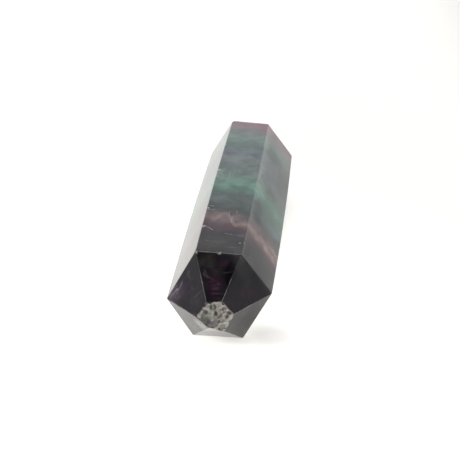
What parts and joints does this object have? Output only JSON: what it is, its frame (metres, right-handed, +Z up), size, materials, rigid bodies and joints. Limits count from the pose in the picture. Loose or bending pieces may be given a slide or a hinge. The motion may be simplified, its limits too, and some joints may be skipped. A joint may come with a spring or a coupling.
{
  "type": "double terminated fluorite point",
  "caption": "Six-sided crystal with a faceted point at both ends, one tip blunted and bruised; lies on a prism face.",
  "frame": {"origin": "under the middle of the crystal, on the surface it lies on", "axes": "+Y along the crystal, away from its bruised tip; +Z up from the prism face it lies on; +X across"},
  "size_m": [0.0184, 0.0716, 0.0171],
  "materials": {
    "fluorite": "polished, see-through crystal with purple, pink, green and grey colour bands across it"
  },
  "bodies": {
    "root": {"fluorite_point": "fluorite"}
  },
  "joints": []
}
